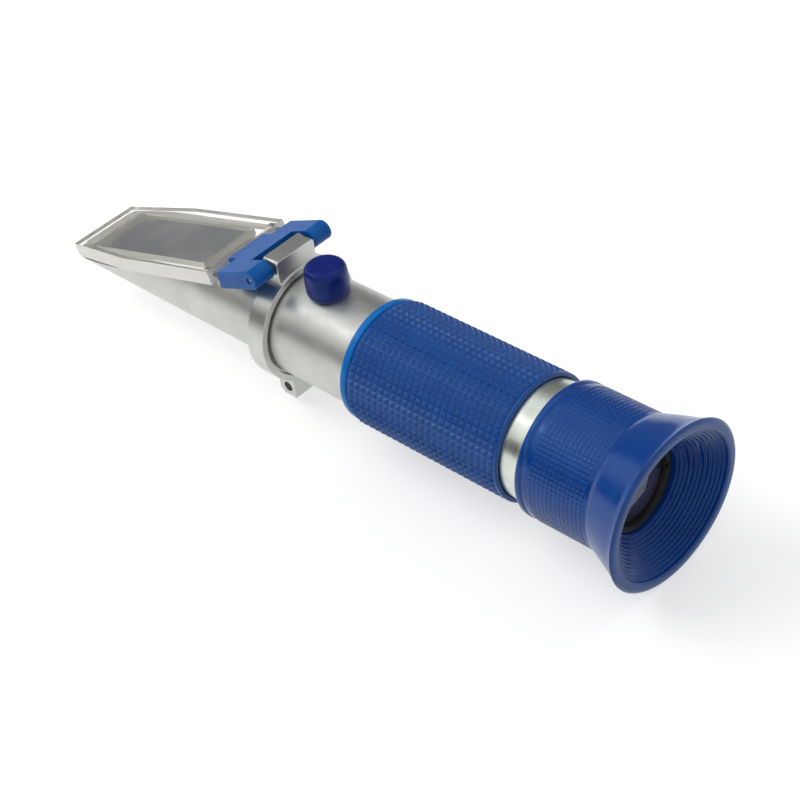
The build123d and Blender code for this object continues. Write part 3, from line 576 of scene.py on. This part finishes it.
# %% Turn the band
band_low, band_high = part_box("grip_band")
band_radius = radius_of("grip_band")
band_round = 0.5 * mm
band_rings = [(band_low.x, barrel_radius)]
band_rings += arc(band_low.x + band_round, band_radius - band_round, band_round, 180, 90, 5)
band_rings += arc(band_high.x - band_round, band_radius - band_round, band_round, 90, 0, 5)
band_rings += [(band_high.x, barrel_radius), (band_low.x, barrel_radius)]
band = turned("bright_band", band_rings, 96)
smooth(band, 50)
dress(band, azure, "band_plastic", "barrel", "grip_band")

# %% [markdown]
# ## The textured grip
# The rubber has rows of small square pyramids. They could be painted as relief, but they show
# at the silhouette, so they are real: the sleeve's long face is cut into rows, and each square
# is inset twice, once flat for the groove and once raised for the pyramid.

# %% Turn the sleeve
grip_low, grip_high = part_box("grip_sleeve")
grip_radius = radius_of("grip_sleeve")
grip_columns = 52
grip_rows = 24
pyramid_height = 0.48 * mm
groove_width = 0.10 * mm
pyramid_side = 0.48 * mm
pyramid_edge = 0.12 * mm
groove_radius = grip_radius - pyramid_height - 0.02 * mm
field_start = grip_low.x + 0.5 * mm
field_end = grip_high.x - 1.0 * mm
lip_radius = radius_of("eyepiece_tube") + 0.25 * mm
lip_length = 1.9 * mm
lip_round = 0.3 * mm
grip_bore = barrel_radius + 0.02 * mm
field_floor = groove_radius - 0.1 * mm
grip_rings = [
    (grip_low.x, grip_bore),
    (grip_low.x, groove_radius - 0.5 * mm),
    (grip_low.x + 0.2 * mm, field_floor),
    (field_start, groove_radius),
    (field_end, groove_radius),
    (field_end + 0.15 * mm, groove_radius + 0.3 * mm),
    (field_end + 0.4 * mm, grip_radius - 0.04 * mm),
]
grip_rings += arc(grip_high.x - lip_round, grip_radius - lip_round - 0.04 * mm, lip_round, 90, 0, 4)
grip_rings += [
    (grip_high.x, lip_radius),
    (grip_high.x - lip_length, lip_radius),
    (grip_high.x - lip_length, grip_bore),
    (grip_low.x, grip_bore),
]
grip = turned("textured_grip", grip_rings, grip_columns)

# %% Cut the rows and raise the pyramids
edit(grip, "EDGE")
field_middle = (field_start + field_end) / 2
pick_edges(lambda middle, way: abs(middle.x - field_middle) < mm and abs(way.x) > 0.9
           and math.hypot(middle.y, middle.z - axis_height) > field_floor)
bpy.ops.mesh.subdivide(number_cuts=grip_rows - 1)
leave_edit()
edit(grip, "FACE")
pick_faces(lambda middle, normal: field_start < middle.x < field_end and abs(normal.x) < 0.1
           and math.hypot(middle.y, middle.z - axis_height) > field_floor)
bpy.ops.mesh.inset(thickness=groove_width, depth=0, use_individual=True)
bpy.ops.mesh.inset(thickness=pyramid_side, depth=pyramid_height, use_individual=True)
bpy.ops.mesh.inset(thickness=pyramid_edge, depth=0.05 * mm, use_individual=True)
leave_edit()
smooth(grip, 28)
dress(grip, grip_rubber, "grip_rubber", "barrel", "grip_sleeve")

# %% [markdown]
# ## The eyecup
# Sleeve and eyecup are one soft moulding: a smooth bead, a groove, a finely squared zone for
# the fingers, then a flare with a thick rounded lip. Inside, the cup goes down to the eye lens
# in small steps. A spun curve could make it too, but a list of rings says each station and radius
# plainly, and the steps inside come from a short loop.

# %% Measure the eyecup
cup_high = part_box("eyecup_sleeve")[1]
cup_radius = radius_of("eyecup_sleeve")
sleeve_radius = 15.2 * mm
sleeve_bore = 13.55 * mm
ring_bore = 14.2 * mm
neck_bore = 9.75 * mm
knurl_depth = 0.12 * mm
knurl_columns = 96
knurl_rows = 13
knurl_groove = 0.08 * mm
knurl_side = 0.18 * mm
knurl_floor = sleeve_radius - 0.3 * mm
sleeve_front = at(73.1)
ring_front = at(73.6)
ring_rear = at(92.0)
bead_end = at(74.9)
knurl_start = at(76.7)
knurl_end = at(90.4)
neck = at(91.5)
lip_size = 1.1 * mm
lip_place = cup_high.x - lip_size
lip_middle = cup_radius - lip_size
mouth_round = 0.5 * mm
mouth_place = cup_high.x - mouth_round
mouth_radius = 16.7 * mm
flare_end_radius = cup_radius - 0.6 * mm
steps = 11
floor_place = at(94.0)
floor_radius = 10.0 * mm
bead_round = 0.8 * mm
print("Eyecup radius and length in mm:", round(cup_radius / mm, 2), round((cup_high.x - sleeve_front) / mm, 2))

# %% List the rings of the sleeve and the flare
cup_rings = [(sleeve_front, sleeve_bore)]
cup_rings += arc(sleeve_front + bead_round, sleeve_radius - bead_round, bead_round, 180, 90, 5)
cup_rings += [
    (bead_end - 0.25 * mm, sleeve_radius),
    (bead_end - 0.05 * mm, sleeve_radius - 0.08 * mm),
    (bead_end + 0.05 * mm, sleeve_radius - 0.22 * mm),
    (bead_end + 0.25 * mm, sleeve_radius - 0.22 * mm),
    (bead_end + 0.4 * mm, sleeve_radius - 0.15 * mm),
    (bead_end + 0.6 * mm, sleeve_radius - knurl_depth),
    (knurl_start, sleeve_radius - knurl_depth),
    (knurl_end, sleeve_radius - knurl_depth),
    (at(91.2), sleeve_radius - knurl_depth),
    (at(91.35), sleeve_radius),
    (neck, sleeve_radius + 0.15 * mm),
]
flare_steps = 8
for number in range(1, flare_steps + 1):
    share = number / flare_steps
    flare_place = neck + (lip_place - neck) * share
    flare_radius = sleeve_radius + 0.15 * mm + (flare_end_radius - sleeve_radius - 0.15 * mm) * share
    cup_rings.append((flare_place, flare_radius))
print("The outside has", len(cup_rings), "rings")

# %% Add the lip, the steps inside and the bore, and turn the eyecup
cup_rings += arc(lip_place, lip_middle, lip_size, 60, 0, 5)
cup_rings += arc(mouth_place, mouth_radius + mouth_round, mouth_round, 0, -90, 4)
step_run = (mouth_place - floor_place) / steps
step_rise = (mouth_radius - floor_radius) / steps
for number in range(steps):
    step_place = mouth_place - number * step_run
    step_radius = mouth_radius - number * step_rise
    cup_rings += [
        (step_place - 0.15 * step_run, step_radius),
        (step_place - 0.8 * step_run, step_radius),
        (step_place - step_run, step_radius - 0.2 * step_rise),
        (step_place - step_run, step_radius - 0.85 * step_rise),
    ]
cup_rings += [
    (floor_place, floor_radius),
    (floor_place, neck_bore),
    (ring_rear, neck_bore),
    (ring_rear, ring_bore),
    (ring_front, ring_bore),
    (ring_front, sleeve_bore),
    (sleeve_front, sleeve_bore),
]
cup = turned("rubber_eyecup", cup_rings, knurl_columns)

# %% [markdown]
# Soft rubber never stays quite true. In the photograph the rim leans and stands a little further
# out on one side. A lattice could bend it, but here the flare is moved and turned in small folds,
# one behind the other, so that every ring of it stays whole and the lip stays round.

# %% Let the soft rim hang a little out of true
rim_give = 0.6 * mm
rim_turns = {"Y": math.radians(-2.4), "Z": math.radians(2.2)}
for number in range(flare_steps):
    fold = neck + (lip_place - neck) * number / flare_steps + 0.02 * mm
    edit(cup, "VERT")
    pick_corners(lambda place: place.x > fold)
    bpy.ops.transform.translate(value=(rim_give / flare_steps, 0, 0))
    for axis_name, rim_turn in rim_turns.items():
        bpy.ops.transform.rotate(
            value=rim_turn / flare_steps, orient_axis=axis_name, center_override=(fold, 0, axis_height),
        )
    leave_edit()
rim_top = max(cup.data.vertices, key=lambda corner: corner.co.z).co
rim_foot = min(cup.data.vertices, key=lambda corner: corner.co.z).co
print("Rim top and foot in mm:", [round(value / mm, 2) for value in (*rim_top, *rim_foot)])

# %% [markdown]
# The finger zone has the same kind of texture as the grip, only finer and flatter. It is cut and
# inset in the same way, after the rim is bent, because the zone itself stays straight.

# %% Square the finger zone
edit(cup, "EDGE")
knurl_middle = (knurl_start + knurl_end) / 2
pick_edges(lambda middle, way: abs(middle.x - knurl_middle) < mm and abs(way.x) > 0.9
           and math.hypot(middle.y, middle.z - axis_height) > knurl_floor)
bpy.ops.mesh.subdivide(number_cuts=knurl_rows - 1)
leave_edit()
edit(cup, "FACE")
pick_faces(lambda middle, normal: knurl_start < middle.x < knurl_end and abs(normal.x) < 0.1
           and math.hypot(middle.y, middle.z - axis_height) > knurl_floor)
bpy.ops.mesh.inset(thickness=knurl_groove, depth=0, use_individual=True)
bpy.ops.mesh.inset(thickness=knurl_side, depth=knurl_depth, use_individual=True)
leave_edit()
smooth(cup, 35)
dress(cup, cup_rubber, "eyecup_rubber", "focus_sleeve", "eyecup_sleeve")

# %% [markdown]
# ## The ring round the eye lens
# A lens is kept in by a threaded ring, which is turned with a pin wrench. So the ring has a
# chamfer towards the glass, a fine bright edge, and two slots for the wrench.

# %% Turn the ring and cut its slots
ring_low, ring_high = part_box("eye_lens_ring")
ring_radius = radius_of("eye_lens_ring")
glass_radius = ring_radius - 0.8 * mm
slot_width = 1.1 * mm
slot_depth = 0.5 * mm
lens_ring_rings = [
    (ring_low.x, glass_radius),
    (ring_low.x, ring_radius),
    (ring_high.x - 0.1 * mm, ring_radius),
    (ring_high.x, ring_radius - 0.1 * mm),
    (ring_high.x, glass_radius + 0.4 * mm),
    (ring_low.x + 0.4 * mm, glass_radius),
    (ring_low.x, glass_radius),
]
lens_ring = turned("slotted_lens_ring", lens_ring_rings, 96)
bpy.ops.object.select_all(action="DESELECT")
bpy.ops.mesh.primitive_cube_add(size=1, location=(ring_high.x, 0, axis_height))
slots = bpy.context.active_object
slots.scale = (2 * slot_depth, 4 * ring_radius, slot_width)
apply_place(slots)
cut(lens_ring, slots)
smooth(lens_ring, 35)
dress(lens_ring, blackened, "black_metal", "eyepiece_cell", "eye_lens_ring")

# %% [markdown]
# ## Two small parts that give
# A rubber ring seals the joint between housing and barrel. Under the calibration screw sits a
# dished spring washer, which flattens as the screw draws the temperature strip up to it. Here it
# is turned in its dished shape.

# %% Turn the seal ring
seal_low, seal_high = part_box("housing_seal")
seal_size = (seal_high.x - seal_low.x) / 2
seal_x = (seal_low.x + seal_high.x) / 2
seal_rings = arc(seal_x, radius_of("housing_seal") - seal_size, seal_size, 0, 360, 16)
seal = turned("seal_ring", seal_rings, 72)
smooth(seal, 60)
dress(seal, seal_rubber, "seal_rubber", "barrel", "housing_seal")

# %% Turn the spring washer
washer_low, washer_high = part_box("spring_washer")
washer_x = (washer_low.x + washer_high.x) / 2
washer_radius = radius_of("spring_washer")
washer_bore = 1.5 * mm
washer_thickness = 0.25 * mm
washer_rings = [
    (washer_low.z, washer_radius),
    (washer_low.z + washer_thickness, washer_radius),
    (washer_high.z, washer_bore),
    (washer_high.z - washer_thickness, washer_bore),
    (washer_low.z, washer_radius),
]
washer = turned("dished_washer", washer_rings, 48, upright_at=washer_x)
smooth(washer, 40)
dress(washer, steel, "steel", "barrel", "spring_washer")
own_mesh(washer)

# %% [markdown]
# ## The calibration cap
# A dipped vinyl cap is a plain tapered pot with a generous round at the top. It is turned
# upright, from the inside out, and a Boolean with a cylinder cuts its rim to the barrel's curve.

# %% Turn the cap and cut its rim
cap_low, cap_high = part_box("screw_cap")
cap_x = (cap_low.x + cap_high.x) / 2
cap_top = cap_high.z
cap_base_radius = 4.98 * mm
cap_top_radius = 4.8 * mm
cap_bore = 4.05 * mm
cap_round = 1.6 * mm
cap_foot = axis_height + barrel_radius - 1.3 * mm
pole = 0.004 * mm
cap_rings = [
    (cap_top - 1.0 * mm, pole),
    (cap_top - 1.0 * mm, cap_bore),
    (cap_foot, cap_bore),
    (cap_foot, cap_base_radius - 0.75 * mm),
    (cap_foot + 0.7 * mm, cap_base_radius - 0.6 * mm),
    (cap_foot + 1.3 * mm, cap_base_radius - 0.25 * mm),
    (cap_foot + 1.9 * mm, cap_base_radius - 0.05 * mm),
    (cap_foot + 2.3 * mm, cap_base_radius),
    (cap_top - 3.5 * mm, cap_top_radius + 0.16 * mm),
]
cap_rings += arc(cap_top - 0.05 * mm - cap_round, cap_top_radius - cap_round, cap_round, 90, 0, 6)
cap_rings += [(cap_top - 0.01 * mm, 1.8 * mm), (cap_top, pole)]
cap = turned("vinyl_cap", cap_rings, 64, upright_at=cap_x)

bpy.ops.object.select_all(action="DESELECT")
bpy.ops.mesh.primitive_cylinder_add(
    vertices=128, radius=barrel_radius + 0.15 * mm, depth=30 * mm,
    location=(cap_x, 0, axis_height), rotation=(0, math.pi / 2, 0),
)
cut(cap, bpy.context.active_object)
smooth(cap, 50)
dress(cap, vinyl, "cap_rubber", "screw_cap", "screw_cap")

# %% [markdown]
# ## The clear cover
# The cover is one acrylic plate. Under it a groove runs round a pad, which presses on the
# prism. It is drawn flat as a six-sided outline, thickened, grooved with a Boolean, softened
# with a bevel so that its edges catch the light, and then laid on the slope.

# %% Draw the cover's outline as a block
cover_low, cover_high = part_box("cover_plate")
nose_height = 4.9 * mm
nose_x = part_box("prism_housing")[0].x
nose_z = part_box("prism_housing")[0].z + nose_height
cover_overhang = 0.65 * mm
cover_length = 58.69 * mm
cover_thickness = 3.5 * mm
cover_half_width = (cover_high.y - cover_low.y) / 2
cover_tip_half_width = cover_half_width - 2.7 * mm
cover_taper = 24.6 * mm
film_gap = 0.3 * mm


def cover_block(name, inset, bottom, top):
    """Draw the cover's outline in the slope's own plane, brought in by an inset, and thicken it."""
    bpy.ops.object.select_all(action="DESELECT")
    start = inset - cover_overhang
    length = cover_length - 2 * inset
    half_width = cover_half_width - inset
    tip_half_width = cover_tip_half_width - inset
    bpy.ops.mesh.primitive_plane_add(size=1, location=(start + length / 2, 0, bottom))
    block = bpy.context.active_object
    block.name = name
    block.scale = (length, 2 * half_width, 1)
    apply_place(block)
    edit(block, "EDGE")
    bpy.ops.mesh.select_all(action="SELECT")
    bend = cover_taper - cover_overhang
    bpy.ops.mesh.bisect(plane_co=(bend, 0, 0), plane_no=(1, 0, 0))
    leave_edit()
    edit(block, "VERT")
    pick_corners(lambda place: place.x < start + 0.1 * mm)
    bpy.ops.transform.resize(value=(1, tip_half_width / half_width, 1), center_override=(start, 0, bottom))
    bpy.ops.mesh.select_all(action="SELECT")
    bpy.ops.mesh.extrude_region_move(TRANSFORM_OT_translate={"value": (0, 0, top - bottom)})
    bpy.ops.mesh.select_all(action="SELECT")
    bpy.ops.mesh.normals_make_consistent(inside=False)
    leave_edit()
    print(name, "is", round(length / mm, 1), "mm long and", round(2 * half_width / mm, 1), "mm wide")
    return block


cover = cover_block("clear_cover", 0, film_gap, film_gap + cover_thickness)

# %% Cut the groove round the pad
rim_width = 2.0 * mm
groove_depth = 1.7 * mm
pad_start = 5.1 * mm
pad_end_gap = 6.5 * mm
pad_half_width = 8.0 * mm
groove = cover_block("groove", rim_width, film_gap - mm, film_gap + groove_depth)
bpy.ops.object.select_all(action="DESELECT")
pad_front = pad_start - cover_overhang
pad_rear = cover_length - cover_overhang - pad_end_gap
bpy.ops.mesh.primitive_cube_add(size=1, location=((pad_front + pad_rear) / 2, 0, film_gap))
pad = bpy.context.active_object
pad.scale = (pad_rear - pad_front, 2 * pad_half_width, 6 * mm)
apply_place(pad)
cut(groove, pad)
cut(cover, groove)

# %% Cut the two screw holes, soften the edges and lay the cover on its slope
screw_spread = 10.0 * mm
hole_radius = 0.8 * mm
for sign in (-1, 1):
    bpy.ops.object.select_all(action="DESELECT")
    bpy.ops.mesh.primitive_cylinder_add(
        vertices=24, radius=hole_radius, depth=8 * mm,
        location=(cover_length - cover_overhang + mm, sign * screw_spread, film_gap + cover_thickness / 2),
        rotation=(0, math.pi / 2, 0),
    )
    cut(cover, bpy.context.active_object)
edges = cover.modifiers.new("edges", "BEVEL")
edges.width = 0.28 * mm
edges.segments = 3
edges.limit_method = "ANGLE"
edges.angle_limit = math.radians(40)
apply_modifiers(cover)
cover.rotation_euler = (0, -face_slope, 0)
cover.location = (nose_x, 0, nose_z)
apply_place(cover)
smooth(cover, 40)
level_faces(cover)
dress(cover, acrylic, "clear_plastic", "cover", "cover_plate")

# %% [markdown]
# ## Crisp machined edges
# Real edges are never perfectly sharp, and the thin line of light on them is what makes metal
# look machined. For parts whose CAD shape is right, a merged copy gets a small bevel.

# %% A helper that softens a copy of a CAD part
def softened(name, cad_node, width, angle):
    """Copy a CAD node, join its loose triangles, and bevel its sharp edges."""
    only(frame["nodes"][cad_node])
    bpy.ops.object.duplicate()
    copy = bpy.context.active_object
    copy.parent = None
    copy.name = name
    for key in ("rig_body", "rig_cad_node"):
        del copy[key]
    edit(copy, "EDGE")
    bpy.ops.mesh.select_all(action="SELECT")
    bpy.ops.mesh.remove_doubles(threshold=0.002 * mm)
    bpy.ops.mesh.dissolve_limited(angle_limit=math.radians(0.6))
    leave_edit()
    bevel = copy.modifiers.new("edges", "BEVEL")
    bevel.width = width
    bevel.segments = 2
    bevel.limit_method = "ANGLE"
    bevel.angle_limit = math.radians(angle)
    apply_modifiers(copy)
    smooth(copy, 35)
    level_faces(copy)
    return copy


collar = softened("machined_collar", "clamp_collar", 0.16 * mm, 40)
dress(collar, turned_metal, "collar_metal", "barrel", "clamp_collar")
bracket = softened("moulded_bracket", "hinge_bracket", 0.2 * mm, 40)
dress(bracket, moulded, "bracket_plastic", "cover", "hinge_bracket")
housing = softened("cut_housing", "prism_housing", 0.12 * mm, 40)
dress(housing, anodised, "housing_metal", "barrel", "prism_housing")

# %% [markdown]
# ## Floor and light
# The set is a pale floor under a white sky. For camera, glossy and transmission rays both are
# lifted to plain white, so metal and glass show the same clean background, while the lamps stay
# at a level where colours come out as they are written. The floor keeps the soft shadow near the
# instrument, fades to white far away, and is clear from below, so that the underside can be looked
# at. Grey cards, which the camera can't see, give the satin metal its soft streaks, as a
# photographer's flags do.

# %% A helper that finds the rays that see the background
def background_rays(finish):
    """Give the light path node, and a factor of 1 for camera, glossy and transmission rays."""
    rays = node(finish, "ShaderNodeLightPath")
    either = node(finish, "ShaderNodeMath", operation="MAXIMUM")
    seen = node(finish, "ShaderNodeMath", operation="MAXIMUM")
    wire(finish, rays.outputs["Is Camera Ray"], either.inputs[0])
    wire(finish, rays.outputs["Is Glossy Ray"], either.inputs[1])
    wire(finish, either.outputs[0], seen.inputs[0])
    wire(finish, rays.outputs["Is Transmission Ray"], seen.inputs[1])
    return rays, seen.outputs[0]


# %% Floor
bpy.ops.object.select_all(action="DESELECT")
bpy.ops.mesh.primitive_plane_add(size=6, location=(0, 0, 0))
floor = bpy.context.active_object
floor.name = "floor"
floor_paint = new_finish("pale_floor", Roughness=0.9, Base_Color=srgb(200, 200, 199))
floor_rays, floor_seen = background_rays(floor_paint)
reach = node(floor_paint, "ShaderNodeVectorMath", operation="LENGTH")
wire(floor_paint, places(floor_paint), reach.inputs[0])
plain_white = 1.0
near_lift = 0.55
# Clear parts dim what is behind them, so the floor seen through them glows a little more.
glass_lift = 0.3
paler = ranged(floor_paint, reach.outputs["Value"], near_lift, plain_white, 0.25, 0.8)
glow_strength = node(floor_paint, "ShaderNodeMath", operation="MULTIPLY_ADD")
glow_strength.inputs[1].default_value = glass_lift
wire(floor_paint, floor_rays.outputs["Is Transmission Ray"], glow_strength.inputs[0])
wire(floor_paint, paler, glow_strength.inputs[2])
lift = node(floor_paint, "ShaderNodeMath", operation="MULTIPLY")
wire(floor_paint, floor_seen, lift.inputs[0])
wire(floor_paint, glow_strength.outputs[0], lift.inputs[1])
glow = node(floor_paint, "ShaderNodeEmission", Color=(1, 1, 1, 1))
wire(floor_paint, lift.outputs[0], glow.inputs["Strength"])

# %% Join the floor's paint and its glow, and leave it clear from below
both = node(floor_paint, "ShaderNodeAddShader")
wire(floor_paint, shader_of(floor_paint).outputs[0], both.inputs[0])
wire(floor_paint, glow.outputs[0], both.inputs[1])
underside = node(floor_paint, "ShaderNodeNewGeometry")
clear = node(floor_paint, "ShaderNodeBsdfTransparent")
sided = node(floor_paint, "ShaderNodeMixShader")
wire(floor_paint, underside.outputs["Backfacing"], sided.inputs[0])
wire(floor_paint, both.outputs[0], sided.inputs[1])
wire(floor_paint, clear.outputs[0], sided.inputs[2])
wire(floor_paint, sided.outputs[0], floor_paint.node_tree.nodes["Material Output"].inputs["Surface"])
floor.data.materials.append(floor_paint)
print("The floor glows at", near_lift, "near the instrument and at", plain_white, "far away")

# %% Sky
sky = bpy.data.worlds.new("sky")
bpy.context.scene.world = sky
sky.use_nodes = True
sky_light = sky.node_tree.nodes["Background"]
sky_light.inputs["Color"].default_value = (1, 1, 1, 1)
sky_level = 0.55
sky_seen = background_rays(sky)[1]
wire(sky, ranged(sky, sky_seen, sky_level, plain_white, 0, 1), sky_light.inputs["Strength"])
print("The sky lights at", sky_level, "and shows at", plain_white)

# %% [markdown]
# The main lamp is large, soft and high on the camera's left. A small one beside it adds the crisp
# glints, and only that one shows in reflections, because a large white square in every curved
# part would look like a window. A third, behind on the right, lights the far side.

# %% Hang the lamps
light_target = Vector((0, 0, 0.02))


def aim_at_target(thing, place):
    """Put a lamp or a card at a place, facing the instrument."""
    thing.location = place
    thing.rotation_euler = (Vector(place) - light_target).to_track_quat("Z", "Y").to_euler()


def softbox(name, place, size, power, reflected):
    """Hang a square area lamp that faces the instrument, and show or hide it in reflections."""
    lamp_data = bpy.data.lights.new(name, "AREA")
    lamp_data.size = size
    lamp_data.energy = power
    lamp = bpy.data.objects.new(name, lamp_data)
    bpy.context.scene.collection.objects.link(lamp)
    aim_at_target(lamp, place)
    lamp.visible_glossy = reflected
    print(name, "gives", power, "W")


softbox("key_light", (-0.48, -0.28, 0.63), 0.6, 3.4, False)
softbox("glint_light", (-0.50, -0.30, 0.64), 0.14, 0.3, True)
softbox("back_light", (0.10, 0.75, 0.55), 0.5, 1.0, False)


# %% Stand up the grey cards
def flag(name, place, width, height, grey, through_glass):
    """Stand up a grey card that metal reflects and, if wanted, clear parts let through."""
    card_paint = new_finish(name + "_paint", Roughness=1.0, Base_Color=srgb(grey, grey, grey))
    bpy.ops.object.select_all(action="DESELECT")
    bpy.ops.mesh.primitive_plane_add(size=1)
    card = bpy.context.active_object
    card.name = name
    card.scale = (width, height, 1)
    aim_at_target(card, place)
    card.data.materials.append(card_paint)
    card.visible_camera = False
    card.visible_diffuse = False
    card.visible_transmission = through_glass
    card.visible_shadow = False
    print(name, "is a card of grey", grey)


flag("side_card", (-0.60, -0.80, 0.19), 1.4, 0.48, 60, False)
flag("far_card", (-0.60, 0.68, 0.42), 1.7, 1.0, 160, True)

# %% Keep the colours plain and finish
bpy.context.scene.view_settings.view_transform = "Standard"
